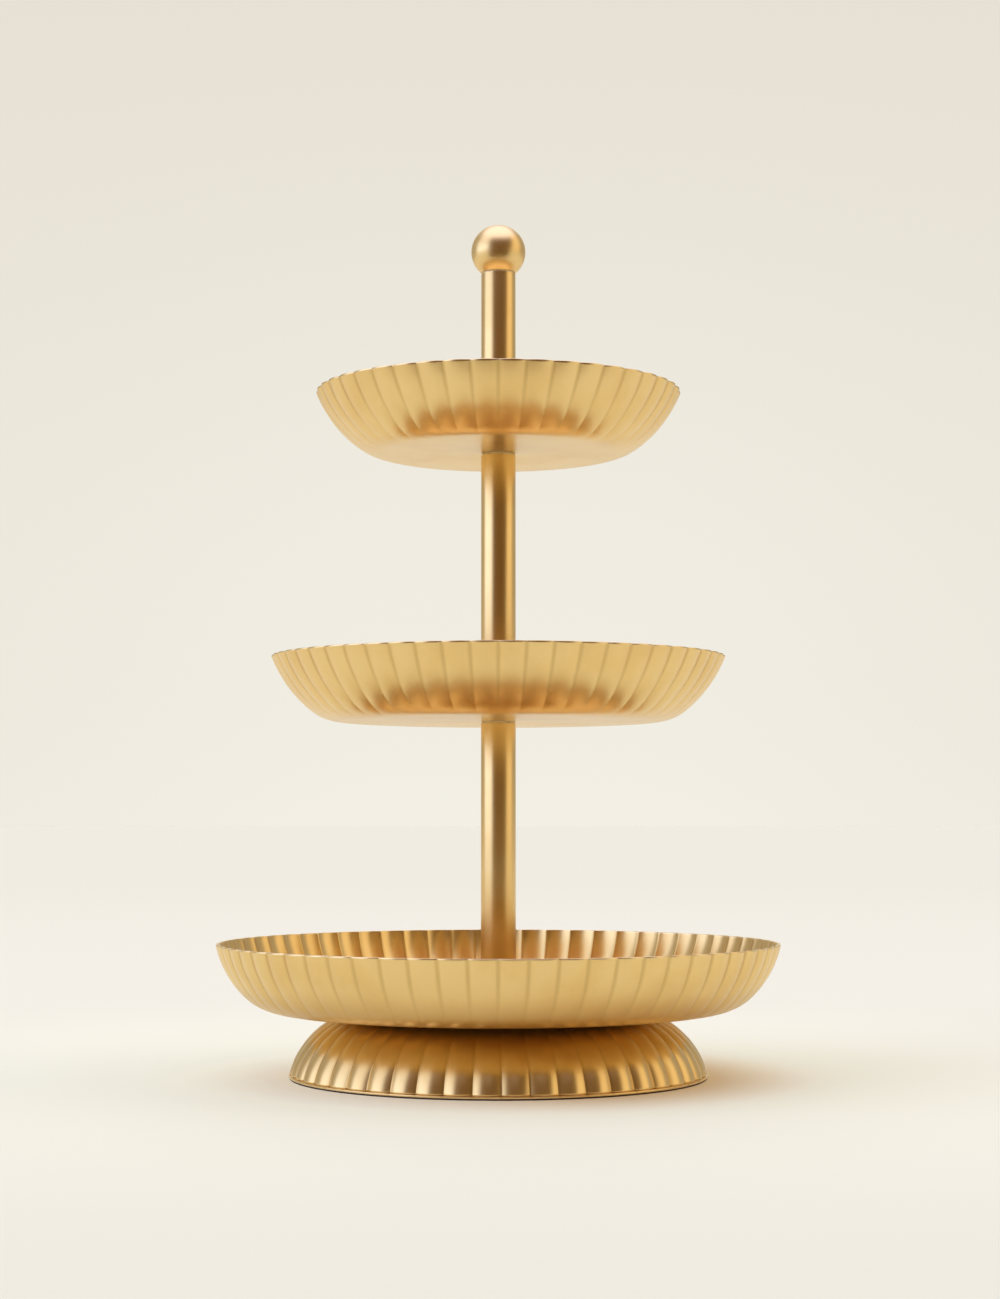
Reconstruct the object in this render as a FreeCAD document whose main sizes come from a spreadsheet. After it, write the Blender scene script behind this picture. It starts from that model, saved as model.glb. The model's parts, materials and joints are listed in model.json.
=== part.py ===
import FreeCAD, Part
import math
import os

import Sketcher

# Three-tier cake stand: three fluted dishes on a round post that unscrews in sections,
# a fluted bowl turned over as the base, and a ball on top.
# Millimetres, +Z up, origin on the resting plane under the post's axis, front towards -Y.

SIZES = (
    ("sheet_thickness", 1.2),
    ("top_tray_radius", 100.5),
    ("top_tray_height", 34.0),
    ("top_tray_corner", 22.0),
    ("top_tray_corner_angle", 34.0),
    ("top_tray_rim_angle", 69.0),
    ("top_tray_ribs", 43),
    ("middle_tray_radius", 124.0),
    ("middle_tray_height", 35.5),
    ("middle_tray_corner", 26.0),
    ("middle_tray_corner_angle", 38.0),
    ("middle_tray_rim_angle", 69.0),
    ("middle_tray_ribs", 54),
    ("bottom_tray_radius", 152.5),
    ("bottom_tray_height", 36.0),
    ("bottom_tray_corner", 29.0),
    ("bottom_tray_corner_angle", 44.0),
    ("bottom_tray_rim_angle", 78.0),
    ("bottom_tray_ribs", 64),
    ("tray_rib_depth", 1.5),
    ("base_radius", 112.6),
    ("base_height", 33.0),
    ("base_corner", 42.0),
    ("base_corner_angle", 34.5),
    ("base_rim_angle", 77.0),
    ("base_ribs", 48),
    ("base_rib_depth", 2.0),
    ("base_turn", 0.8),
    ("hem_height", 1.2),
    ("hem_overhang", 0.4),
    ("foot_height", 0.8),
    ("foot_inset", 0.6),
    ("gasket_radius", 62.0),
    ("gasket_thickness", 0.8),
    ("post_radius", 9.5),
    ("post_wall", 1.5),
    ("lower_tube_length", 153.0),
    ("middle_tube_length", 144.5),
    ("upper_tube_length", 98.5),
    ("solder_gap", 0.05),
    ("insert_length", 15.0),
    ("insert_chamfer", 0.8),
    ("thread_radius", 4.0),
    ("thread_clearance", 0.05),
    ("thread_engagement", 12.5),
    ("stud_chamfer", 1.0),
    ("hole_clearance", 0.25),
    ("washer_thickness", 0.8),
    ("washer_inset", 0.5),
    ("clamp_radius", 20.0),
    ("clamp_thickness", 2.0),
    ("spring_washer_radius", 7.0),
    ("spring_washer_thickness", 1.8),
    ("spring_washer_slit", 1.5),
    ("screw_head_radius", 7.0),
    ("screw_head_height", 4.4),
    ("screw_head_fillet", 1.5),
    ("hex_width", 5.0),
    ("hex_depth", 2.6),
    ("finial_radius", 15.0),
)

# The stand from the table up: each layer's name and the size that is its thickness.
LAYERS = (
    ("foot_ring", "foot_height"),
    ("hem", "hem_height"),
    ("base_wall", "base_height"),
    ("gasket", "gasket_thickness"),
    ("bottom_tray", "sheet_thickness"),
    ("bottom_washer", "washer_thickness"),
    ("lower_tube", "lower_tube_length"),
    ("middle_lower_washer", "washer_thickness"),
    ("middle_tray", "sheet_thickness"),
    ("middle_upper_washer", "washer_thickness"),
    ("middle_tube", "middle_tube_length"),
    ("top_lower_washer", "washer_thickness"),
    ("top_tray", "sheet_thickness"),
    ("top_upper_washer", "washer_thickness"),
    ("upper_tube", "upper_tube_length"),
    ("finial_washer", "washer_thickness"),
)

ORIGIN = FreeCAD.Vector(0, 0, 0)
UP = FreeCAD.Vector(0, 0, 1)
SIDEWAYS = FreeCAD.Vector(1, 0, 0)
FRONT_ANGLE = -90.0
SEWING_TOLERANCE = 1e-4

# The hem under the base's wall: past the ribs' crests outside, past their valleys inside.
HEM_OUTER = "sizes.base_radius + sizes.hem_overhang"
HEM_INNER = ("sizes.base_radius - sizes.base_rib_depth - sizes.hem_overhang"
             " - sizes.sheet_thickness / sin(sizes.base_rim_angle)")

# How finely a rib's surface is sampled: across its half width, and along its meridian.
RIB_STATIONS = (-1.0, -0.5, 0.0, 0.5, 1.0)
CORNER_STEPS = 4
WALL_STEPS = 7

doc = FreeCAD.newDocument("cake_stand")
sheet = doc.addObject("Spreadsheet::Sheet", "sizes")
nodes = []


def fill_sheet():
    for row, (alias, number) in enumerate(SIZES, start=1):
        sheet.set(f"A{row}", alias)
        sheet.set(f"B{row}", str(number))
        sheet.setAlias(f"B{row}", alias)
    doc.recompute()


def value(expression):
    return float(sheet.evalExpression(expression))


def stack_levels():
    # Each layer's underside, as the sum of the layers below it.
    levels = {}
    height = "0"
    for layer, thickness in LAYERS:
        levels[layer] = height
        height = f"{height} + sizes.{thickness}"
    levels["finial"] = height
    return levels


def keep(piece, name):
    piece.Label = name
    nodes.append(piece)
    return piece


def place_at(piece, level):
    piece.setExpression("Placement.Base.z", level)


# Sketches and plain turned pieces

def sketch_on(body, name, role):
    sketch = body.newObject("Sketcher::SketchObject", name)
    plane = next(item for item in body.Origin.OriginFeatures if item.Role == role)
    sketch.AttachmentSupport = [(plane, "")]
    sketch.MapMode = "FlatFace"
    return sketch


def add_circle(sketch, label, radius):
    circle = sketch.addGeometry(Part.Circle(ORIGIN, UP, value(radius)), False)
    sketch.addConstraint(Sketcher.Constraint("Coincident", circle, 3, -1, 1))
    size = sketch.addConstraint(Sketcher.Constraint("Radius", circle, value(radius)))
    sketch.renameConstraint(size, label)
    sketch.setExpression(f"Constraints.{label}", radius)


def pad(body, sketch, name, length):
    feature = body.newObject("PartDesign::Pad", name)
    feature.Profile = sketch
    feature.setExpression("Length", length)
    doc.recompute()
    return feature


def disc_body(name, radii, thickness, level):
    # A round plate or tube: one circle for a rod, two for a ring.
    body = doc.addObject("PartDesign::Body", name)
    outline = sketch_on(body, f"{name}_outline", "XY_Plane")
    for label, radius in zip(("outer", "inner"), radii):
        add_circle(outline, label, radius)
    pad(body, outline, f"{name}_pad", thickness)
    place_at(body, level)
    return keep(body, name)


def end_edges(feature, radius):
    # The round edges of a given radius at a turned piece's two ends.
    picked = []
    for number, edge in enumerate(feature.Shape.Edges, start=1):
        round_edge = isinstance(edge.Curve, Part.Circle)
        if round_edge and abs(edge.Curve.Radius - radius) < 1e-6:
            picked.append(f"Edge{number}")
    return picked


def chamfer_ends(body, radius, size):
    turned = body.Tip
    feature = body.newObject("PartDesign::Chamfer", f"{body.Name}_chamfer")
    feature.Base = (turned, end_edges(turned, value(radius)))
    feature.setExpression("Size", size)
    doc.recompute()


def washer(name, level):
    # Nylon, set in from the post's edge so that it hardly shows.
    radii = ("sizes.post_radius - sizes.washer_inset", "sizes.thread_radius + sizes.hole_clearance")
    disc_body(name, radii, "sizes.washer_thickness", level)


# The post

def post_section(name, levels):
    radii = ("sizes.post_radius", "sizes.post_radius - sizes.post_wall")
    length = f"sizes.{name}_length"
    disc_body(name, radii, length, levels[name])
    threaded_insert(f"{name}_bottom_insert", levels[name])
    threaded_insert(f"{name}_top_insert", f"{levels[name]} + {length} - sizes.insert_length")


def threaded_insert(name, level):
    outer = "sizes.post_radius - sizes.post_wall - sizes.solder_gap"
    bore = "sizes.thread_radius + sizes.thread_clearance"
    body = disc_body(name, (outer, bore), "sizes.insert_length", level)
    chamfer_ends(body, bore, "sizes.insert_chamfer")


def stud(name, mouth, passed):
    # Fixed in the piece above mouth, it passes what lies between and enters the insert below.
    below = f"{passed} + sizes.thread_engagement"
    length = f"sizes.insert_length + {below}"
    body = disc_body(name, ("sizes.thread_radius",), length, f"{mouth} - ({below})")
    chamfer_ends(body, "sizes.thread_radius", "sizes.stud_chamfer")


# The screw that holds the base on

def hexagon(sketch, width):
    # A regular hexagon on the origin, with two corners on the X axis.
    reach = value(width) / math.sqrt(3)
    corners = [FreeCAD.Vector(reach * math.cos(math.radians(60 * k)),
                              reach * math.sin(math.radians(60 * k)), 0) for k in range(6)]
    for k in range(6):
        sketch.addGeometry(Part.LineSegment(corners[k], corners[(k + 1) % 6]), False)
    circle = sketch.addGeometry(Part.Circle(ORIGIN, UP, reach), True)
    for k in range(6):
        sketch.addConstraint(Sketcher.Constraint("Coincident", k, 2, (k + 1) % 6, 1))
        sketch.addConstraint(Sketcher.Constraint("PointOnObject", k, 1, circle))
    for k in range(5):
        sketch.addConstraint(Sketcher.Constraint("Equal", k, k + 1))
    sketch.addConstraint(Sketcher.Constraint("Coincident", circle, 3, -1, 1))
    sketch.addConstraint(Sketcher.Constraint("PointOnObject", 0, 1, -1))
    size = sketch.addConstraint(Sketcher.Constraint("Radius", circle, reach))
    sketch.renameConstraint(size, "corner_reach")
    sketch.setExpression("Constraints.corner_reach", f"{width} / sqrt(3)")


def base_screw(levels):
    # Cap screw with a hexagon socket, head down; its own origin is the head's lower face.
    body = doc.addObject("PartDesign::Body", "base_screw")
    head = sketch_on(body, "screw_head_outline", "XY_Plane")
    add_circle(head, "head", "sizes.screw_head_radius")
    disc = pad(body, head, "screw_head", "sizes.screw_head_height")
    rim = [f"Edge{number}" for number, edge in enumerate(disc.Shape.Edges, start=1)
           if edge.BoundBox.ZMax < value("sizes.screw_head_height") / 2]
    rounding = body.newObject("PartDesign::Fillet", "screw_head_rounding")
    rounding.Base = (disc, rim)
    rounding.setExpression("Radius", "sizes.screw_head_fillet")
    doc.recompute()
    socket = sketch_on(body, "screw_socket_outline", "XY_Plane")
    hexagon(socket, "sizes.hex_width")
    before = rounding.Shape.Volume
    recess = body.newObject("PartDesign::Pocket", "screw_socket")
    recess.Profile = socket
    recess.setExpression("Length", "sizes.hex_depth")
    recess.Reversed = True
    doc.recompute()
    if recess.Shape.Volume >= before:
        raise RuntimeError("the screw's socket cuts nothing")
    shank = sketch_on(body, "screw_shank_outline", "XY_Plane")
    add_circle(shank, "shank", "sizes.thread_radius")
    shank.setExpression("AttachmentOffset.Base.z", "sizes.screw_head_height")
    under_head = "sizes.spring_washer_thickness + sizes.clamp_thickness + sizes.sheet_thickness"
    through = "sizes.gasket_thickness + sizes.sheet_thickness + sizes.washer_thickness"
    pad(body, shank, "screw_shank", f"{under_head} + {through} + sizes.thread_engagement")
    place_at(body, f"{levels['gasket']} - ({under_head}) - sizes.screw_head_height")
    keep(body, "base_screw")


def spring_washer(level):
    radii = ("sizes.spring_washer_radius", "sizes.thread_radius + sizes.hole_clearance")
    body = disc_body("base_spring_washer", radii, "sizes.spring_washer_thickness", level)
    slit = sketch_on(body, "slit_outline", "XY_Plane")
    half = value("sizes.spring_washer_slit") / 2
    reach = value("sizes.spring_washer_radius") * 1.2
    corners = [FreeCAD.Vector(0, -half, 0), FreeCAD.Vector(reach, -half, 0),
               FreeCAD.Vector(reach, half, 0), FreeCAD.Vector(0, half, 0)]
    for k in range(4):
        slit.addGeometry(Part.LineSegment(corners[k], corners[(k + 1) % 4]), False)
    for k in range(4):
        slit.addConstraint(Sketcher.Constraint("Coincident", k, 2, (k + 1) % 4, 1))
    for k, way in enumerate(("Horizontal", "Vertical", "Horizontal", "Vertical")):
        slit.addConstraint(Sketcher.Constraint(way, k))
    slit.addConstraint(Sketcher.Constraint("Symmetric", 3, 1, 3, 2, -1, 1))
    width = slit.addConstraint(Sketcher.Constraint("DistanceY", 1, 1, 1, 2, 2 * half))
    length = slit.addConstraint(Sketcher.Constraint("DistanceX", 0, 1, 0, 2, reach))
    slit.renameConstraint(width, "width")
    slit.renameConstraint(length, "length")
    slit.setExpression("Constraints.width", "sizes.spring_washer_slit")
    slit.setExpression("Constraints.length", "sizes.spring_washer_radius * 1.2")
    before = body.Tip.Shape.Volume
    cut = body.newObject("PartDesign::Pocket", "slit")
    cut.Profile = slit
    cut.Type = "ThroughAll"
    cut.Reversed = True
    doc.recompute()
    if cut.Shape.Volume >= before:
        raise RuntimeError("the spring washer's slit cuts nothing")


# Fluted dishes: the trays, and the base turned over

def dish_sizes(name):
    # A flat disc, a corner arc and a wider wall arc, each tangent to the last.
    radius = value(f"sizes.{name}_radius")
    height = value(f"sizes.{name}_height")
    corner = value(f"sizes.{name}_corner")
    turn = math.radians(value(f"sizes.{name}_corner_angle"))
    rim_turn = math.radians(value(f"sizes.{name}_rim_angle"))
    wall = (height - corner * (1 - math.cos(turn))) / (math.cos(turn) - math.cos(rim_turn))
    flat = radius - corner * math.sin(turn) - wall * (math.sin(rim_turn) - math.sin(turn))
    return {
        "height": height, "corner": corner, "turn": turn, "rim_turn": rim_turn, "wall": wall,
        "flat": flat, "length": corner * turn + wall * (rim_turn - turn),
        "wall_centre": (flat - (wall - corner) * math.sin(turn),
                        corner + (wall - corner) * math.cos(turn)),
    }


def meridian(dish, inset):
    # Radius, height and share of the full rib depth, from the disc's edge to the rim.
    stations = []
    radius = dish["corner"] - inset
    for step in range(CORNER_STEPS):
        angle = dish["turn"] * step / CORNER_STEPS
        run = dish["corner"] * angle
        stations.append((dish["flat"] + radius * math.sin(angle),
                         dish["corner"] - radius * math.cos(angle), run))
    radius = dish["wall"] - inset
    centre_r, centre_z = dish["wall_centre"]
    end = math.acos((centre_z - dish["height"]) / radius)
    for step in range(WALL_STEPS + 1):
        share = step / WALL_STEPS
        angle = dish["turn"] + (end - dish["turn"]) * share
        run = dish["corner"] * dish["turn"] + dish["wall"] * (dish["rim_turn"] - dish["turn"]) * share
        stations.append((centre_r + radius * math.sin(angle),
                         centre_z - radius * math.cos(angle), run))
    return [(r, z, math.sin(math.pi / 2 * run / dish["length"])) for r, z, run in stations]


def rib_face(stations, rib_depth, half_angle):
    # One rib: bowed outwards, and deepest at the valleys on its two sides.
    grid = []
    for radius, height, share in stations:
        row = []
        for across in RIB_STATIONS:
            reach = radius - rib_depth * share * across ** 2
            row.append(FreeCAD.Vector(reach * math.cos(half_angle * across),
                                      reach * math.sin(half_angle * across), height))
        grid.append(row)
    surface = Part.BSplineSurface()
    surface.interpolate(grid)
    return surface.toShape()


def ribs_around(face, count):
    faces = []
    for k in range(count):
        rib = face.copy()
        rib.rotate(ORIGIN, UP, FRONT_ANGLE + (k + 0.5) * 360 / count)
        faces.append(rib)
    return faces


def outline_at(faces, height):
    # The closed wire of the faces' edges that lie at one height.
    edges = []
    for face in faces:
        for edge in face.Edges:
            if abs(edge.BoundBox.ZMin - height) < 1e-3 and abs(edge.BoundBox.ZMax - height) < 1e-3:
                edges.append(edge)
    return Part.Wire(Part.__sortEdges__(edges))


def circle_at(radius, height):
    return Part.Wire(Part.makeCircle(radius, FreeCAD.Vector(0, 0, height), UP))


def flat_face(outer, inner):
    return Part.makeFace([outer, inner], "Part::FaceMakerBullseye")


def tube_face(radius, low, high):
    circle = Part.makeCircle(radius, FreeCAD.Vector(0, 0, low), UP)
    return circle.extrude(FreeCAD.Vector(0, 0, high - low))


def closed_solid(faces):
    sewn = Part.Compound(faces)
    sewn.sewShape(SEWING_TOLERANCE)
    solid = Part.Solid(Part.Shell(sewn.Faces))
    if solid.Volume < 0:
        solid.reverse()
    return solid


def dish_walls(dish, count, rib_depth):
    half_angle = math.pi / count
    thickness = value("sizes.sheet_thickness")
    outside = ribs_around(rib_face(meridian(dish, 0), rib_depth, half_angle), count)
    inside = ribs_around(rib_face(meridian(dish, thickness), rib_depth, half_angle), count)
    return outside, inside


def disc_faces(outside, inside):
    # The dish's floor, with its centre hole.
    thickness = value("sizes.sheet_thickness")
    hole = value("sizes.thread_radius + sizes.hole_clearance")
    return [
        flat_face(outline_at(outside, 0), circle_at(hole, 0)),
        flat_face(outline_at(inside, thickness), circle_at(hole, thickness)),
        tube_face(hole, 0, thickness),
    ]


def fluted_tray(name, level):
    dish = dish_sizes(name)
    count = int(value(f"sizes.{name}_ribs"))
    outside, inside = dish_walls(dish, count, value("sizes.tray_rib_depth"))
    rim = flat_face(outline_at(outside, dish["height"]), outline_at(inside, dish["height"]))
    tray = doc.addObject("Part::Feature", name)
    tray.Shape = closed_solid(outside + inside + disc_faces(outside, inside) + [rim])
    tray.Placement = FreeCAD.Placement(FreeCAD.Vector(0, 0, value(level)), FreeCAD.Rotation())
    keep(tray, name)


def base_shell(level):
    dish = dish_sizes("base")
    count = int(value("sizes.base_ribs"))
    outside, inside = dish_walls(dish, count, value("sizes.base_rib_depth"))
    height = dish["height"]
    hem = height + value("sizes.hem_height")
    outer, inner = value(HEM_OUTER), value(HEM_INNER)
    faces = outside + inside + disc_faces(outside, inside)
    faces += [
        flat_face(circle_at(outer, height), outline_at(outside, height)),
        flat_face(outline_at(inside, height), circle_at(inner, height)),
        tube_face(outer, height, hem),
        tube_face(inner, height, hem),
        flat_face(circle_at(outer, hem), circle_at(inner, hem)),
    ]
    shell = doc.addObject("Part::Feature", "base_shell")
    shell.Shape = closed_solid(faces)
    turned_over = FreeCAD.Rotation(SIDEWAYS, 180)
    turned_round = FreeCAD.Rotation(UP, value("sizes.base_turn"))
    shell.Placement = FreeCAD.Placement(FreeCAD.Vector(0, 0, value(level)),
                                        turned_round.multiply(turned_over))
    keep(shell, "base_shell")


# The ball

def finial_ball(level):
    # A ball with a flat the size of the post, and a blind threaded hole up from the flat.
    ball = doc.addObject("Part::Sphere", "finial_sphere")
    ball.setExpression("Radius", "sizes.finial_radius")
    rise = "sqrt(sizes.finial_radius ^ 2 - sizes.post_radius ^ 2)"
    place_at(ball, rise)
    below = doc.addObject("Part::Cylinder", "finial_flat_cut")
    below.setExpression("Radius", "sizes.finial_radius")
    below.setExpression("Height", "sizes.finial_radius")
    place_at(below, "-sizes.finial_radius")
    bore = doc.addObject("Part::Cylinder", "finial_bore")
    bore.setExpression("Radius", "sizes.thread_radius + sizes.thread_clearance")
    bore.setExpression("Height", "sizes.insert_length")
    flat = doc.addObject("Part::Cut", "finial_with_flat")
    flat.Base = ball
    flat.Tool = below
    finial = doc.addObject("Part::Cut", "finial_ball")
    finial.Base = flat
    finial.Tool = bore
    place_at(finial, level)
    keep(finial, "finial_ball")


def build_base(levels):
    base_shell(levels["gasket"])
    foot = (f"{HEM_OUTER} - sizes.foot_inset", f"{HEM_INNER} + sizes.foot_inset")
    disc_body("base_foot_ring", foot, "sizes.foot_height", levels["foot_ring"])
    hole = "sizes.thread_radius + sizes.hole_clearance"
    gasket = ("sizes.gasket_radius", hole)
    disc_body("base_gasket", gasket, "sizes.gasket_thickness", levels["gasket"])
    clamp_level = f"{levels['gasket']} - sizes.sheet_thickness - sizes.clamp_thickness"
    disc_body("base_clamp_washer", ("sizes.clamp_radius", hole), "sizes.clamp_thickness", clamp_level)
    spring_washer(f"{clamp_level} - sizes.spring_washer_thickness")
    base_screw(levels)


def build_tiers(levels):
    under_tray = "sizes.washer_thickness + sizes.sheet_thickness + sizes.washer_thickness"
    fluted_tray("bottom_tray", levels["bottom_tray"])
    washer("bottom_tray_washer", levels["bottom_washer"])
    post_section("lower_tube", levels)
    for tier in ("middle", "top"):
        washer(f"{tier}_tray_lower_washer", levels[f"{tier}_lower_washer"])
        fluted_tray(f"{tier}_tray", levels[f"{tier}_tray"])
        washer(f"{tier}_tray_upper_washer", levels[f"{tier}_upper_washer"])
    post_section("middle_tube", levels)
    post_section("upper_tube", levels)
    stud("middle_stud", levels["middle_tube"], under_tray)
    stud("upper_stud", levels["upper_tube"], under_tray)
    washer("finial_washer", levels["finial_washer"])
    finial_ball(levels["finial"])
    stud("finial_stud", levels["finial"], "sizes.washer_thickness")


def check_document():
    doc.recompute()
    for item in doc.Objects:
        if "Invalid" in item.State or "Error" in item.State:
            raise RuntimeError(f"{item.Name} failed: {item.State}")
    for piece in nodes:
        if piece.Shape.isNull() or not piece.Shape.isValid() or not piece.Shape.Solids:
            raise RuntimeError(f"{piece.Label} has no valid solid")


def write_steps():
    os.makedirs("parts", exist_ok=True)
    for piece in nodes:
        piece.Shape.exportStep(f"parts/{piece.Label}.step")
        print(f"{piece.Label}: {piece.Shape.Volume:.1f} mm3")


fill_sheet()
stack = stack_levels()
build_base(stack)
build_tiers(stack)
check_document()
write_steps()
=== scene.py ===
import json
import math

import bmesh
import bpy
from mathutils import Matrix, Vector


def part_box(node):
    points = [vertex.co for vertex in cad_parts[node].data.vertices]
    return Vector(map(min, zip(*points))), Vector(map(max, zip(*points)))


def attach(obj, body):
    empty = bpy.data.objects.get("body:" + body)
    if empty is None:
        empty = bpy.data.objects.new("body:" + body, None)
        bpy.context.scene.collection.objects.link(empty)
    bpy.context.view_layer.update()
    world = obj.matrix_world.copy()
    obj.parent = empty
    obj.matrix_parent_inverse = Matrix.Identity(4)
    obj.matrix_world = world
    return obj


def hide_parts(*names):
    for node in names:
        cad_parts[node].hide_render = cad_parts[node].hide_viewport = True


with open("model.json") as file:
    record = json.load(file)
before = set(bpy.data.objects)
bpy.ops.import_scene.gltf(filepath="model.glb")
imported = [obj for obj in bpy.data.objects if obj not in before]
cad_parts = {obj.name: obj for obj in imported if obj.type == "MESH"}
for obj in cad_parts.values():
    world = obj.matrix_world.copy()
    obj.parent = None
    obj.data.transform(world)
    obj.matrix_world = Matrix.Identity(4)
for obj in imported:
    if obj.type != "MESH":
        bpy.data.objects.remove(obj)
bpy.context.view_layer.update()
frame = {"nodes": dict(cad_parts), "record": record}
mm = 0.001
print("cad frame loaded:", len(frame["nodes"]), "nodes")


def bottomOf(node):
    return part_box(node)[0].z


def topOf(node):
    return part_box(node)[1].z


# shader maths: a wrapped socket that adds its own Math nodes

class Wire:
    tree = None  # node tree that new nodes go into

    def __init__(self, socket):
        self.socket = socket

    @staticmethod
    def node(kind, settings, inputs, output=0):
        made = Wire.tree.nodes.new(kind)
        for name, value in settings.items():
            setattr(made, name, value)
        for name, value in inputs.items():
            connect(value, made.inputs[name])
        return Wire(made.outputs[output])

    @staticmethod
    def maths(operation, *values):
        return Wire.node("ShaderNodeMath", {"operation": operation}, dict(enumerate(values)))

    def __add__(self, other):
        return Wire.maths("ADD", self, other)

    def __radd__(self, other):
        return Wire.maths("ADD", other, self)

    def __sub__(self, other):
        return Wire.maths("SUBTRACT", self, other)

    def __rsub__(self, other):
        return Wire.maths("SUBTRACT", other, self)

    def __mul__(self, other):
        return Wire.maths("MULTIPLY", self, other)

    def __rmul__(self, other):
        return Wire.maths("MULTIPLY", other, self)


def connect(value, socket):
    if isinstance(value, Wire):
        Wire.tree.links.new(value.socket, socket)
    else:
        socket.default_value = value


def smooth(value, start, end):  # 0 at start, 1 at end, eased
    return Wire.node("ShaderNodeMapRange", {"interpolation_type": "SMOOTHSTEP"},
                     {"Value": value, "From Min": start, "From Max": end})


def blend(factor, first, second, how="MIX"):
    first, second = [colour if isinstance(colour, Wire) else (*colour, 1) for colour in (first, second)]
    # a Mix node has its colour sockets at 6 and 7 and its colour output at 2
    return Wire.node("ShaderNodeMix", {"data_type": "RGBA", "blend_type": how},
                     {0: factor, 6: first, 7: second}, 2)


def objectPlace():
    return Wire.node("ShaderNodeTexCoord", {}, {}, "Object")


def axes(vector):
    split = Wire.node("ShaderNodeSeparateXYZ", {}, {0: vector}).socket.node
    return [Wire(out) for out in split.outputs]


def joined(x, y, z):
    return Wire.node("ShaderNodeCombineXYZ", {}, {0: x, 1: y, 2: z})


def fromAxis(x, y):
    return Wire.maths("POWER", x * x + y * y, 0.5)


def noise(vector, scale, detail=3.0, rough=0.5):
    return Wire.node("ShaderNodeTexNoise", {},
                     {"Vector": vector, "Scale": scale, "Detail": detail, "Roughness": rough})


def newMaterial(name):
    material = bpy.data.materials.new(name)
    material.use_nodes = True
    Wire.tree = material.node_tree
    return material, Wire.tree.nodes["Principled BSDF"]


def feed(shader, **values):
    for name, value in values.items():
        connect(value, shader.inputs[name.replace("_", " ")])


def bump(height, strength, distance=0.2 * mm):
    return Wire.node("ShaderNodeBump", {},
                     {"Height": height, "Strength": strength, "Distance": distance})


# satin gold plate

gold = {
    "colour": (0.85, 0.61, 0.26),
    "deep": (0.81, 0.555, 0.215),  # patches where the plate is thicker
    "valleyShade": (0.60, 0.40, 0.14),  # painted shade along the valleys
    "jointShade": (0.55, 0.345, 0.105),  # painted shade where two pieces meet
    "worn": (0.91, 0.71, 0.38),  # rims and edges that hands rub
    "cloudScale": 38.0,
    "speckScale": 900.0,
    "deepSpan": (0.35, 0.75),
    "brushSpan": (0.3, 0.8),
    "brushShare": 0.15,
    "rubSpan": (0.3, 0.6),
    "roughness": 0.31,
    "brushRoughness": 0.08,
    "cloudRoughness": 0.03,
    "rubRoughness": 0.02,
    "speckBump": 0.3,  # share of the bump, the rest is brushing
    "bump": 0.05,
}


def satinGold(name, grain, valleyShade=None, rub=None, shadeAtJoints=None, duller=0.0):
    # grain, the valley shade, rub and the shade at joints are functions of the point's x, y and z; the two
    # shades are painted shade
    material, shader = newMaterial(name)
    place = objectPlace()
    point = axes(place)
    brushed = noise(grain(*point), 1.0, 4.0, 0.55)
    cloud = noise(place, gold["cloudScale"])
    speck = noise(place, gold["speckScale"], 2.0, 0.6)
    colour = blend(smooth(cloud, *gold["deepSpan"]), gold["colour"], gold["deep"])
    colour = blend(smooth(brushed, *gold["brushSpan"]) * gold["brushShare"], colour, gold["worn"])
    rough = gold["roughness"] + duller + gold["brushRoughness"] * (brushed - 0.5)
    rough = rough + gold["cloudRoughness"] * (cloud - 0.5)
    # painted shade: the colour darkens along the rib valleys
    if valleyShade:
        colour = blend(valleyShade(*point), colour, gold["valleyShade"])
    # painted shade: the colour darkens where this piece meets the next one
    if shadeAtJoints:
        colour = blend(shadeAtJoints(*point), colour, gold["jointShade"])
    if rub:
        rubbed = rub(*point) * smooth(cloud, *gold["rubSpan"])
        colour = blend(rubbed, colour, gold["worn"])
        rough = rough + gold["rubRoughness"] * rubbed
    height = brushed * (1 - gold["speckBump"]) + speck * gold["speckBump"]
    feed(shader, Base_Color=colour, Metallic=1.0, Roughness=rough, Normal=bump(height, gold["bump"]))
    return material


def roundGrain(x, y, z):  # the post and the ball, finer than the eye resolves
    return joined(x * 2400.0, y * 2400.0, z * 3400.0)


# modelling steps that several pieces share

touching = 0.001 * mm
weldReach = 0.002 * mm


def deselectAll():
    if bpy.context.mode != "OBJECT":
        bpy.ops.object.mode_set(mode="OBJECT")
    bpy.ops.object.select_all(action="DESELECT")


def pick(kind, test):
    bpy.ops.mesh.select_mode(type=kind)
    bpy.ops.mesh.select_all(action="DESELECT")
    work = bmesh.from_edit_mesh(bpy.context.object.data)
    for part in {"VERT": work.verts, "EDGE": work.edges, "FACE": work.faces}[kind]:
        if test(part):
            part.select_set(True)
    if kind == "VERT":
        work.select_flush(True)
    bmesh.update_edit_mesh(bpy.context.object.data)


def pickVerts(test):
    pick("VERT", lambda vert: test(vert.co))


def pickEdges(test):
    pick("EDGE", lambda edge: all(test(vert.co) for vert in edge.verts))


def pickFaces(test):
    pick("FACE", lambda face: test(face.calc_center_median(), face.normal))


def outFrom(point):  # distance from the post's axis
    return math.hypot(point.x, point.y)


def faceOutwards():
    bpy.ops.mesh.select_all(action="SELECT")
    bpy.ops.mesh.normals_make_consistent(inside=False)


def applyModifier(kind, **settings):
    bpy.ops.object.modifier_add(type=kind)
    modifier = bpy.context.object.modifiers[-1]
    for name, value in settings.items():
        setattr(modifier, name, value)
    bpy.ops.object.modifier_apply(modifier=modifier.name)


def roundEdges(width, segments):
    applyModifier("BEVEL", width=width * mm, segments=segments, limit_method="ANGLE",
                  angle_limit=math.radians(60), use_clamp_overlap=False)


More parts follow.
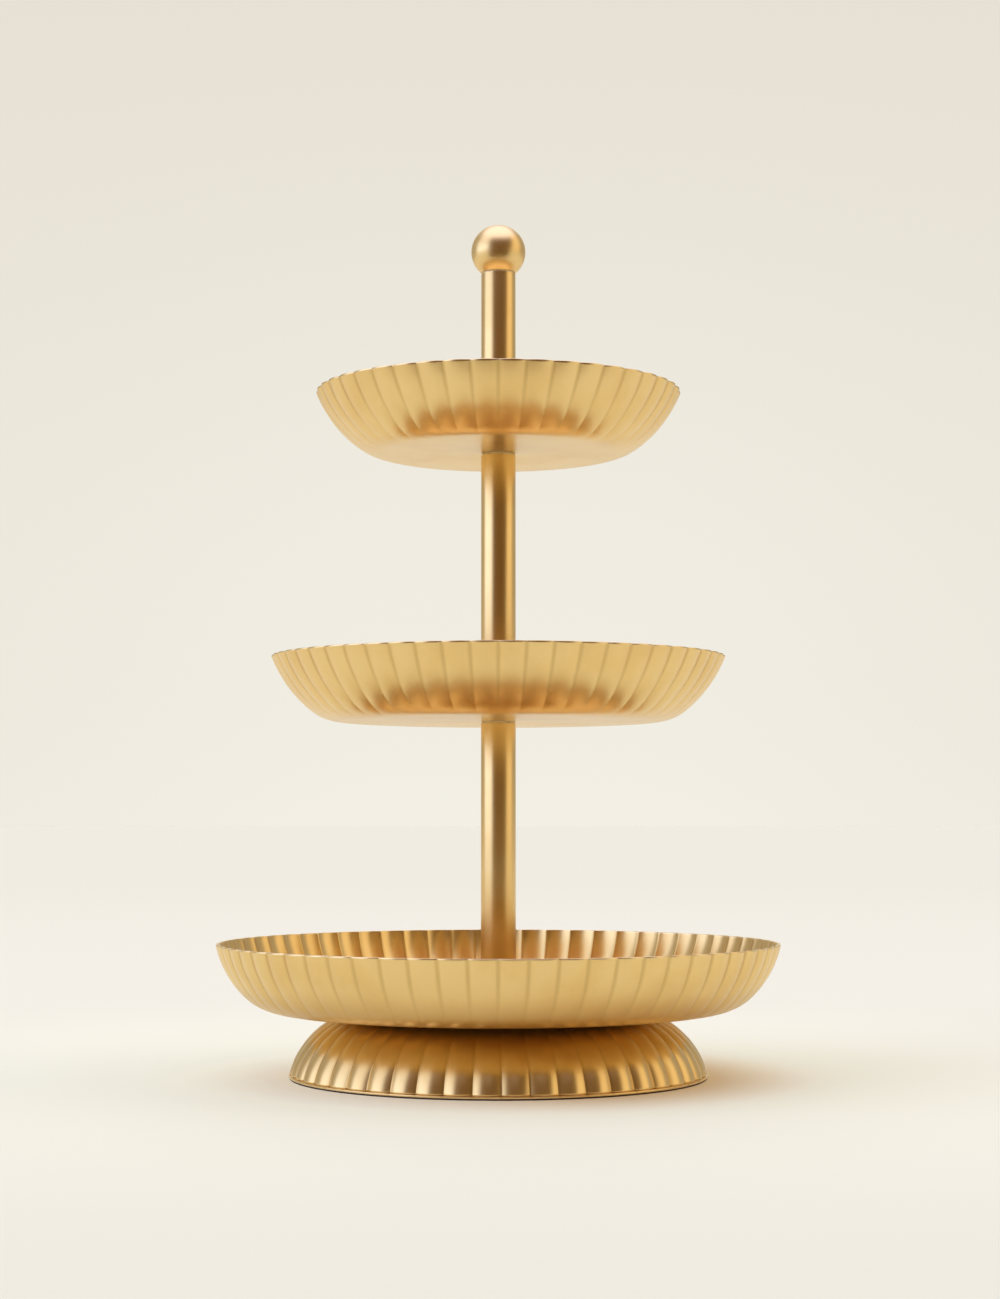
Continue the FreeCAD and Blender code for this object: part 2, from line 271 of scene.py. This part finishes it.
def startVertex(x, z):  # a new mesh of one vertex, in edit mode
    deselectAll()
    bpy.ops.mesh.primitive_plane_add(size=2 * mm)
    bpy.ops.object.mode_set(mode="EDIT")
    bpy.ops.mesh.select_mode(type="VERT")
    bpy.ops.mesh.merge(type="CENTER")
    bpy.ops.transform.translate(value=(x, 0, z))


def hollowCylinder(low, high, sizes):
    deselectAll()
    bpy.ops.mesh.primitive_cylinder_add(vertices=sizes["sides"], radius=sizes["outer"] * mm,
                                        depth=high - low, location=(0, 0, (low + high) / 2))
    bpy.ops.object.transform_apply(location=True)
    bpy.ops.object.mode_set(mode="EDIT")
    pickFaces(lambda place, normal: abs(normal.z) > 0.9)
    bpy.ops.mesh.inset(thickness=(sizes["outer"] - sizes["inner"]) * mm)
    bpy.ops.mesh.bridge_edge_loops()
    faceOutwards()
    bpy.ops.object.mode_set(mode="OBJECT")
    roundEdges(sizes["bevel"], sizes["bevelSegments"])


def finishPiece(name, node, material, smoothAngle=35):
    if bpy.context.mode != "OBJECT":
        bpy.ops.object.mode_set(mode="OBJECT")
    piece = bpy.context.object
    piece.name = piece.data.name = name
    bpy.ops.object.transform_apply(location=True, rotation=True, scale=True)
    bpy.ops.object.shade_smooth_by_angle(angle=math.radians(smoothAngle))
    piece.data.materials.clear()
    piece.data.materials.append(material)
    allBodies = frame["record"]["behaviour"]["bodies"]
    bodies = [body for body, nodes in allBodies.items() if node in nodes]
    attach(piece, bodies[0])
    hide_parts(node)
    print(name, "done,", len(piece.data.polygons), "faces")


# fluted dishes: an arc for the corner and a wider one for the wall, pressed into ribs
# painted shade at the joints: where it starts and ends above the piece's lowest level, and its share

dishes = {
    "bottomTray": {
        "node": "bottom_tray", "radius": 152.5, "height": 36.0,
        "corner": 29.0, "cornerAngle": 44.0, "rimAngle": 78.0,
        "ribs": 64, "ribDepth": 1.5, "turn": 0.0, "turnedOver": False, "jointShade": (19.0, 5.0, 0.4),
    },
    "middleTray": {
        "node": "middle_tray", "radius": 124.0, "height": 35.5,
        "corner": 26.0, "cornerAngle": 38.0, "rimAngle": 69.0,
        "ribs": 54, "ribDepth": 1.5, "turn": 0.0, "turnedOver": False,
    },
    "topTray": {
        "node": "top_tray", "radius": 100.5, "height": 34.0,
        "corner": 22.0, "cornerAngle": 34.0, "rimAngle": 69.0,
        "ribs": 43, "ribDepth": 1.5, "turn": 0.0, "turnedOver": False,
    },
    "baseShell": {
        "node": "base_shell", "radius": 112.6, "height": 33.0,
        "corner": 42.0, "cornerAngle": 34.5, "rimAngle": 77.0,
        "ribs": 48, "ribDepth": 2.0, "turn": 0.8, "turnedOver": True, "jointShade": (11.0, 27.0, 0.35),
    },
}
dishMaking = {
    "sheet": 1.2,
    "hole": 4.25,
    "cornerSteps": 7,
    "wallSteps": 9,
    "edgeRow": 0.5,  # a short last row below the lip
    "stations": (0.14, 0.40, 0.64, 0.82, 0.92, 0.955, 0.985, 1.0),  # half a rib, crest to valley
    "valleyRounding": 0.07,
    "lip": 0.9,  # the last of the wall stands upright
    "rimReach": 0.01,
    "rimBevel": 0.3,
}
dishLook = {
    "grain": (2600.0, 700.0, 60.0),  # up, out and round
    "valley": (0.74, 1.0),
    "valleyHeight": 0.8,  # share of the height over which the painted valley shade comes in
    "valleyShare": 0.65,
    "jointShadeRadii": (0.40, 0.62),  # shares of the radius
    "rubReach": 1.3,
}
hem = {"outer": 113.0, "inner": 108.97, "height": 1.2, "sides": 192, "bevel": 0.45, "bevelSegments": 4}


def ribbedDish(sizes):
    corner, wallTurn = sizes["corner"] * mm, math.radians(sizes["cornerAngle"])
    rimTurn, height = math.radians(sizes["rimAngle"]), sizes["height"] * mm
    wall = (height - corner * (1 - math.cos(wallTurn))) / (math.cos(wallTurn) - math.cos(rimTurn))
    wallReach = wall * (math.sin(rimTurn) - math.sin(wallTurn))
    flat = sizes["radius"] * mm - corner * math.sin(wallTurn) - wallReach
    wallX = flat - (wall - corner) * math.sin(wallTurn)
    wallZ = corner + (wall - corner) * math.cos(wallTurn)
    halfRib = math.pi / sizes["ribs"]
    wholeRun = corner * wallTurn + wall * (rimTurn - wallTurn)

    def flute(point):  # how far in the rib is pressed there, as a share of its depth
        out = outFrom(point)
        turn = math.atan2(out - flat, corner - point.z)
        run = corner * turn
        if turn > wallTurn:
            turn = math.atan2(out - wallX, wallZ - point.z)
            run = corner * wallTurn + wall * (turn - wallTurn)
        across = abs(math.atan2(point.y, point.x)) / halfRib
        rounding = dishMaking["valleyRounding"]
        pressed = across ** 2 - max(0, across - 1 + rounding) ** 2 / rounding
        return math.sin(math.pi / 2 * run / wholeRun) * pressed * math.sin(turn)

    # the profile, then one rib from it
    startVertex(flat, 0)
    bpy.ops.mesh.spin(steps=dishMaking["cornerSteps"], angle=wallTurn,
                      center=(flat, 0, corner), axis=(0, 1, 0))
    edge = dishMaking["edgeRow"] * mm / wall
    lip = rimTurn - math.acos(math.cos(rimTurn) + dishMaking["lip"] * mm / wall)
    for steps, angle in ((dishMaking["wallSteps"], rimTurn - wallTurn - lip - edge), (1, edge)):
        bpy.ops.mesh.spin(steps=steps, angle=angle, center=(wallX, 0, wallZ), axis=(0, 1, 0))
    bpy.ops.mesh.extrude_region_move(TRANSFORM_OT_translate={"value": (0, 0, dishMaking["lip"] * mm)})
    bpy.ops.object.mode_set(mode="OBJECT")
    dish = bpy.context.object
    dish.rotation_euler.z = -halfRib
    bpy.ops.object.transform_apply(rotation=True)
    bpy.ops.object.mode_set(mode="EDIT")
    bpy.ops.mesh.select_all(action="SELECT")
    stations = dishMaking["stations"]
    across = [-place for place in reversed(stations)] + list(stations)
    for near, far in zip(across, across[1:]):
        bpy.ops.mesh.spin(steps=1, angle=(far - near) * halfRib, center=(0, 0, 0), axis=(0, 0, -1))
    bpy.ops.object.mode_set(mode="OBJECT")
    group = dish.vertex_groups.new(name="flute")
    for vert in dish.data.vertices:
        group.add([vert.index], max(0.0, min(1.0, flute(vert.co))), "REPLACE")
    bpy.ops.object.mode_set(mode="EDIT")
    bpy.ops.mesh.select_all(action="SELECT")
    if sum(face.normal.x for face in bmesh.from_edit_mesh(dish.data).faces) < 0:
        bpy.ops.mesh.flip_normals()
    bpy.ops.object.mode_set(mode="OBJECT")
    applyModifier("DISPLACE", strength=-sizes["ribDepth"] * mm, mid_level=0, vertex_group="flute")
    dish.vertex_groups.clear()

    # all the ribs, and the disc inside them
    bpy.ops.object.mode_set(mode="EDIT")
    bpy.ops.mesh.select_all(action="SELECT")
    count = sizes["ribs"]
    bpy.ops.mesh.spin(steps=count - 1, angle=2 * math.pi * (count - 1) / count, center=(0, 0, 0),
                      axis=(0, 0, 1), dupli=True)
    bpy.ops.mesh.select_all(action="SELECT")
    bpy.ops.mesh.remove_doubles(threshold=weldReach)
    pickEdges(lambda point: point.z < touching)
    bpy.ops.mesh.extrude_edges_move()
    inwards = dishMaking["hole"] * mm / flat
    bpy.ops.transform.resize(value=(inwards, inwards, 1), center_override=(0, 0, 0))
    faceOutwards()
    faces = bmesh.from_edit_mesh(dish.data).faces
    if min(faces, key=lambda face: face.calc_center_median().z).normal.z > 0:
        bpy.ops.mesh.flip_normals()

    # the sheet's thickness, a rim trimmed level, and the place
    bpy.ops.object.mode_set(mode="OBJECT")
    applyModifier("SOLIDIFY", thickness=dishMaking["sheet"] * mm, offset=-1, use_even_offset=True)
    bpy.ops.object.mode_set(mode="EDIT")
    pickVerts(lambda point: point.z > height - dishMaking["rimReach"] * mm)
    bpy.ops.transform.resize(value=(1, 1, 0), center_override=(0, 0, height))
    bpy.ops.object.mode_set(mode="OBJECT")
    roundEdges(dishMaking["rimBevel"], 3)
    dish.rotation_euler.z = math.radians(sizes["turn"] - 90) + halfRib  # a valley to the front
    if sizes["turnedOver"]:
        dish.scale.z = -1
        dish.location.z = topOf(sizes["node"])
    else:
        dish.location.z = bottomOf(sizes["node"])
    bpy.ops.object.transform_apply(location=True, rotation=True, scale=True)
    bpy.ops.object.mode_set(mode="EDIT")
    faceOutwards()
    bpy.ops.object.mode_set(mode="OBJECT")


def dishGold(name, sizes):
    low, high = bottomOf(sizes["node"]), topOf(sizes["node"])
    rim, start = (low, high) if sizes["turnedOver"] else (high, low)

    def grain(x, y, z):  # turned rings, finer than the eye resolves
        up, out, around = dishLook["grain"]
        return joined(z * up + fromAxis(x, y) * out, Wire.maths("ARCTAN2", y, x) * around, 0.0)

    def valleyShade(x, y, z):  # painted shade: 1 along a valley, fading to the disc
        front = math.radians(sizes["turn"] - 90)
        ribsPerTurn = sizes["ribs"] / (2 * math.pi)
        across = Wire.maths("FRACT", (Wire.maths("ARCTAN2", y, x) - front) * ribsPerTurn + 0.5)
        nearValley = 1.0 - Wire.maths("ABSOLUTE", across - 0.5) * 2.0
        up = smooth(z, start, start + (rim - start) * dishLook["valleyHeight"])
        return smooth(nearValley, *dishLook["valley"]) * up * dishLook["valleyShare"]

    # painted shade, darker near where this piece meets the next one
    def shadeAtJoints(x, y, z):
        begins, ends, share = sizes["jointShade"]
        inner, outer = [part * sizes["radius"] * mm for part in dishLook["jointShadeRadii"]]
        wide = smooth(fromAxis(x, y), inner, outer)
        return smooth(z, low + begins * mm, low + ends * mm) * wide * share

    def rub(x, y, z):
        reach = dishLook["rubReach"] * (mm if rim > start else -mm)
        return smooth(z, rim - reach, rim)

    return satinGold(name, grain, valleyShade, rub, shadeAtJoints if "jointShade" in sizes else None)


for name, sizes in dishes.items():
    ribbedDish(sizes)
    if name == "baseShell":
        shell = bpy.context.object
        low = bottomOf("base_shell")
        hollowCylinder(low, low + hem["height"] * mm, hem)
        shell.select_set(True)
        bpy.ops.object.join()
    finishPiece(name, sizes["node"], dishGold(name + "Gold", sizes))


# the post, in three lengths of tube

tubes = {
    "outer": 9.5,
    "inner": 8.0,
    "sides": 128,
    "bevel": 0.15,
    "bevelSegments": 3,
    "rubReach": 0.8,
    "jointShade": (28, 54),  # painted shade above the lower tube's foot, where it stands in the bottom dish
    "pieces": {"lowerTube": "lower_tube", "middleTube": "middle_tube", "upperTube": "upper_tube"},
}


def tubeGold(name, node):
    low, high = bottomOf(node), topOf(node)

    def rub(x, y, z):
        reach = tubes["rubReach"] * mm
        return 1.0 - smooth(z, low, low + reach) + smooth(z, high - reach, high)

    # painted shade at the lower tube's foot
    def shadeAtJoints(x, y, z):
        begins, ends = tubes["jointShade"]
        return 1.0 - smooth(z, low + begins * mm, low + ends * mm)

    return satinGold(name, roundGrain, None, rub, shadeAtJoints if node == "lower_tube" else None)


for name, node in tubes["pieces"].items():
    hollowCylinder(bottomOf(node), topOf(node), tubes)
    finishPiece(name, node, tubeGold(name + "Gold", node))


# the ball, with a flat as wide as the post and a blind hole for its stud

ball = {"radius": 15.0, "flat": 9.5, "bore": 4.05, "boreDepth": 15.0, "bevel": 0.25,
        "around": 128, "rings": 64, "edgeReach": 0.2, "duller": 0.03}
ballFlat = bottomOf("finial_ball")
ballCentre = ballFlat + math.sqrt(ball["radius"] ** 2 - ball["flat"] ** 2) * mm
deselectAll()
bpy.ops.mesh.primitive_uv_sphere_add(segments=ball["around"], ring_count=ball["rings"],
                                     radius=ball["radius"] * mm, location=(0, 0, ballCentre))
bpy.ops.object.transform_apply(location=True)
bpy.ops.object.mode_set(mode="EDIT")
bpy.ops.mesh.select_all(action="SELECT")
bpy.ops.mesh.bisect(plane_co=(0, 0, ballFlat), plane_no=(0, 0, 1), use_fill=True, clear_inner=True)
pickFaces(lambda place, normal: normal.z < -0.99 and abs(place.z - ballFlat) < touching)
bpy.ops.mesh.inset(thickness=(ball["flat"] - ball["bore"]) * mm)
bpy.ops.mesh.extrude_region_move(TRANSFORM_OT_translate={"value": (0, 0, ball["boreDepth"] * mm)})
faceOutwards()
rimStart = (ball["flat"] - ball["edgeReach"]) * mm
pickEdges(lambda point: abs(point.z - ballFlat) < touching and outFrom(point) > rimStart)
bpy.ops.mesh.bevel(offset=ball["bevel"] * mm, segments=2)
finishPiece("finialBall", "finial_ball",
            satinGold("finialBallGold", roundGrain, duller=ball["duller"]))


# threaded studs

thread = {
    "crest": 4.0,
    "root": 3.35,
    "pitch": 1.25,
    "rootRun": 0.25,  # shares of the pitch
    "flankRun": 0.28,
    "crestRun": 0.19,
    "steps": 48,
    "chamfer": 1.0,
    "chamferPasses": (0.25, 0.5, 0.75),  # each pass narrows the last part of the end's chamfer
    "narrowing": 0.95,
    "studs": {"middleStud": "middle_stud", "upperStud": "upper_stud", "finialStud": "finial_stud"},
}
zinc = {
    "colour": (0.60, 0.61, 0.63),
    "dull": (0.50, 0.50, 0.49),
    "bright": (0.72, 0.72, 0.72),
    "flowScale": 160.0,
    "grain": (300.0, 300.0, 3000.0),
    "roughness": 0.26,
    "grainRoughness": 0.14,
    "bump": 0.08,
}


def zincPlate(name):
    material, shader = newMaterial(name)
    place = objectPlace()
    flow = noise(place, zinc["flowScale"], 4.0, 0.6)
    stretched = [axis * scale for axis, scale in zip(axes(place), zinc["grain"])]
    fine = noise(joined(*stretched), 1.0)
    colour = blend(smooth(flow, 0.3, 0.7), zinc["colour"], zinc["dull"])
    colour = blend(smooth(fine, 0.62, 0.8) * 0.5, colour, zinc["bright"])
    feed(shader, Base_Color=colour, Metallic=1.0,
         Roughness=zinc["roughness"] + zinc["grainRoughness"] * fine, Normal=bump(fine, zinc["bump"]))
    return material


def threadedStud(name, node):
    low, high = bottomOf(node), topOf(node)
    root, crest, pitch = thread["root"] * mm, thread["crest"] * mm, thread["pitch"] * mm
    turns = math.ceil((high - low) / pitch) + 2
    flank = thread["flankRun"]
    startVertex(root, low - pitch)
    for out, up in ((0, thread["rootRun"]), (crest - root, flank),
                    (0, thread["crestRun"]), (root - crest, flank)):
        bpy.ops.mesh.extrude_region_move(TRANSFORM_OT_translate={"value": (out, 0, up * pitch)})
    bpy.ops.object.mode_set(mode="OBJECT")
    applyModifier("SCREW", angle=2 * math.pi, screw_offset=pitch, iterations=turns,
                  steps=thread["steps"], render_steps=thread["steps"])
    bpy.ops.object.mode_set(mode="EDIT")
    bpy.ops.mesh.select_all(action="SELECT")
    bpy.ops.mesh.remove_doubles(threshold=weldReach)
    faceOutwards()
    for level, keepAbove in ((low, True), (high, False)):
        bpy.ops.mesh.select_all(action="SELECT")
        bpy.ops.mesh.bisect(plane_co=(0, 0, level), plane_no=(0, 0, 1), use_fill=True,
                            clear_inner=keepAbove, clear_outer=not keepAbove)
    for share in thread["chamferPasses"]:
        reach = thread["chamfer"] * (1 - share) * mm
        start, end = low + reach, high - reach
        pickVerts(lambda point: (point.z < start or point.z > end) and outFrom(point) > root)
        bpy.ops.transform.resize(value=(thread["narrowing"], thread["narrowing"], 1),
                                 center_override=(0, 0, 0))
    faceOutwards()
    finishPiece(name, node, zincPlate(name + "Zinc"), 28)


for name, node in thread["studs"].items():
    threadedStud(name, node)


# fittings that keep their CAD shape

nylon = {
    "colour": (0.92, 0.72, 0.36),  # clear, so it takes the gold's colour
    "mottled": (0.84, 0.62, 0.27),
    "mottleScale": 240.0,
    "ringScale": 3000.0,
    "roughness": 0.42,
    "mottleRoughness": 0.12,
    "scatter": 0.25,
    "bump": 0.12,
}
rubber = {
    "colour": (0.030, 0.022, 0.015),
    "dusty": (0.060, 0.046, 0.034),
    "grainScale": 1800.0,
    "dustScale": 60.0,
    "roughness": 0.62,
    "grainRoughness": 0.18,
    "bump": 0.2,
    "bumpDistance": 0.3,
}


def washerNylon():
    material, shader = newMaterial("washerNylon")
    place = objectPlace()
    x, y, z = axes(place)
    mottle = noise(place, nylon["mottleScale"])
    rings = noise(joined(fromAxis(x, y) * nylon["ringScale"], 0.0, z * nylon["ringScale"]), 1.0, 2.0)
    colour = blend(smooth(mottle, 0.3, 0.7), nylon["colour"], nylon["mottled"])
    feed(shader, Base_Color=colour, Roughness=nylon["roughness"] + nylon["mottleRoughness"] * mottle,
         Subsurface_Weight=nylon["scatter"], Normal=bump(rings, nylon["bump"]))
    return material


def footRubber():
    material, shader = newMaterial("footRubber")
    place = objectPlace()
    grain = noise(place, rubber["grainScale"], 4.0, 0.6)
    dust = noise(place, rubber["dustScale"])
    colour = blend(smooth(dust, 0.45, 0.75), rubber["colour"], rubber["dusty"])
    feed(shader, Base_Color=colour, Roughness=rubber["roughness"] + rubber["grainRoughness"] * grain,
         Normal=bump(grain, rubber["bump"], rubber["bumpDistance"] * mm))
    return material


finishes = {
    "plated_steel": zincPlate("fittingZinc"),
    "clear_nylon": washerNylon(),
    "dark_rubber": footRubber(),
}
for fitting in frame["nodes"].values():
    if fitting.hide_render:
        continue
    for place in fitting.material_slots:
        kind = place.material.name.split(".")[0]
        if kind in finishes:
            place.material = finishes[kind]
print("fittings finished")


# camera

cameraPlace = {"location": (0.0009, -1.2905, 0.1389), "tilt": 94.09, "lens": 65.49, "sensor": 36,
               "clip": (0.05, 200)}
deselectAll()
bpy.ops.object.camera_add(location=cameraPlace["location"],
                          rotation=(math.radians(cameraPlace["tilt"]), 0, 0))
camera = bpy.context.object
camera.data.lens, camera.data.sensor_width = cameraPlace["lens"], cameraPlace["sensor"]
camera.data.clip_start, camera.data.clip_end = cameraPlace["clip"]
bpy.context.scene.camera = camera


# floor

floorLook = {
    "size": 80.0,
    "colour": (0.885, 0.872, 0.60),
    # painted shade: the floor colour is darker towards the front and again far off
    "front": (0.845, 0.835, 0.565),
    "frontFade": (-0.8, 0.1),
    "farFade": (0.6, 4.0),
    "farShare": 0.9,
    "mottleScale": 300.0,
    "mottleShare": 0.06,
    "glowRight": (0.10, 0.02, 0.01),  # painted light: the floor glows gold beside the base
    "glowLeft": (0.20, 0.17, 0.19),
    "glowWide": (0.055, 0.07, 0.04),
    "glowSides": (-0.08, 0.08),
    "glowReach": (0.112, 0.19),
    "wideReach": (0.12, 0.6),
}
noLight = (0, 0, 0)
bpy.ops.mesh.primitive_plane_add(size=floorLook["size"])
floor = bpy.context.object
floor.name = "studioFloor"
material, shader = newMaterial("studioFloor")
place = objectPlace()
x, y = axes(place)[:2]
away = fromAxis(x, y)
# painted shade: the floor darkens towards the front and far away
paintedLitShare = smooth(y, *floorLook["frontFade"]) * (1.0 - floorLook["farShare"] * smooth(y, *floorLook["farFade"]))
colour = blend(paintedLitShare, floorLook["front"], floorLook["colour"])
# painted light: the floor emits a glow round the base
glow = blend(smooth(x, *floorLook["glowSides"]), floorLook["glowLeft"], floorLook["glowRight"])
nearGlow = blend(smooth(away, *floorLook["glowReach"]), glow, noLight)
wideGlow = blend(smooth(away, *floorLook["wideReach"]), floorLook["glowWide"], noLight)
mottle = noise(place, floorLook["mottleScale"]) * floorLook["mottleShare"]
feed(shader, Base_Color=blend(mottle, colour, floorLook["front"]), Roughness=0.9,
     Specular_IOR_Level=0.1, Emission_Color=blend(1.0, nearGlow, wideGlow, "ADD"), Emission_Strength=1.0)
floor.data.materials.append(material)


# studio light: cream all round, softboxes left, right and overhead, a dark bay behind the camera
# spans are in degrees: start, end and soft edge round the stand, or start and end of a rise

studio = {
    "back": (0.84, 0.81, 0.73),
    "sides": (0.45, 0.42, 0.36),
    "sidesSpan": (-155, 158, 10),
    "bay": (0.17, 0.095, 0.035),
    "baySpan": (-100, 100, 14),
    "left": (1.65, 1.85, 2.8),
    "leftHigh": (1.1, 1.15, 1.5),
    "leftSpan": (-102, -41, 7),
    "leftRise": (5, 35),
    "right": (1.14, 0.94, 0.66),
    "rightSpan": (51, 97, 7),
    "rightLean": 0.5,  # how far the right softbox leans round as it rises
    "top": (1.6, 1.6, 2.4),
    "topRise": (40, 60),
    "horizon": (-4, 4),
    "backdropLow": (0.913, 0.885, 0.806),
    "backdropMiddle": (0.875, 0.845, 0.76),
    "backdropHigh": (0.79, 0.745, 0.65),
    "backdropRise": (3, 23),
    "backdropSides": (2, 14),
    "backdropSidesShare": 0.3,
}
world = bpy.data.worlds.new("studio")
world.use_nodes = True
bpy.context.scene.world = world
Wire.tree = world.node_tree
x, y, z = axes(Wire.node("ShaderNodeTexCoord", {}, {}, "Generated"))
degrees = 180 / math.pi
swing = Wire.maths("ARCTAN2", x, 0.0 - y) * degrees  # 0 towards the front, positive to the right
rise = Wire.maths("ARCSINE", z) * degrees


def band(value, low, high, edge):
    return smooth(value, low - edge, low + edge) * (1.0 - smooth(value, high - edge, high + edge))


aboveFloor = smooth(rise, *studio["horizon"])
colour = blend(band(swing, *studio["sidesSpan"]), studio["back"], studio["sides"])
colour = blend(band(swing, *studio["baySpan"]), colour, studio["bay"])
leftLight = blend(smooth(rise, *studio["leftRise"]), studio["left"], studio["leftHigh"])
colour = blend(band(swing, *studio["leftSpan"]) * aboveFloor, colour, leftLight)
leaning = swing - studio["rightLean"] * rise
colour = blend(band(leaning, *studio["rightSpan"]) * aboveFloor, colour, studio["right"])
colour = blend(smooth(rise, *studio["topRise"]), colour, studio["top"])
# painted shade: the backdrop seen straight on darkens upwards and away from straight behind the stand
backdrop = blend(aboveFloor, studio["backdropLow"], studio["backdropMiddle"])
backdrop = blend(smooth(rise, *studio["backdropRise"]), backdrop, studio["backdropHigh"])
aside = smooth(180.0 - Wire.maths("ABSOLUTE", swing), *studio["backdropSides"])
backdrop = blend(aside * studio["backdropSidesShare"], backdrop, studio["backdropHigh"])
straight = Wire.node("ShaderNodeLightPath", {}, {}, "Is Camera Ray")
connect(blend(straight, colour, backdrop), Wire.tree.nodes["Background"].inputs["Color"])


# a dark sheet in front, which shows only where the gold mirrors it

apron = {"start": 0.65, "level": 0.002, "farWidening": 59, "farShift": (6.5, -36, 0)}
bpy.ops.mesh.primitive_plane_add(size=2 * apron["start"], location=(0, -2 * apron["start"], apron["level"]))
sheet = bpy.context.object
bpy.ops.object.transform_apply(location=True)
bpy.ops.object.mode_set(mode="EDIT")
pickVerts(lambda point: point.y < -2 * apron["start"])
bpy.ops.transform.resize(value=(apron["farWidening"], 1, 1), center_override=(0, 0, 0))
bpy.ops.transform.translate(value=apron["farShift"])
bpy.ops.object.mode_set(mode="OBJECT")
sheet.name = "studioApron"
material, shader = newMaterial("studioApron")
Wire.tree.nodes.remove(shader)
dark = Wire.node("ShaderNodeEmission", {}, {"Color": (*studio["bay"], 1), "Strength": 1.0})
connect(dark, Wire.tree.nodes["Material Output"].inputs["Surface"])
sheet.data.materials.append(material)
sheet.visible_camera = sheet.visible_diffuse = False
sheet.visible_shadow = sheet.visible_transmission = False
bpy.context.scene.view_settings.view_transform = "Standard"
print("studio lit")
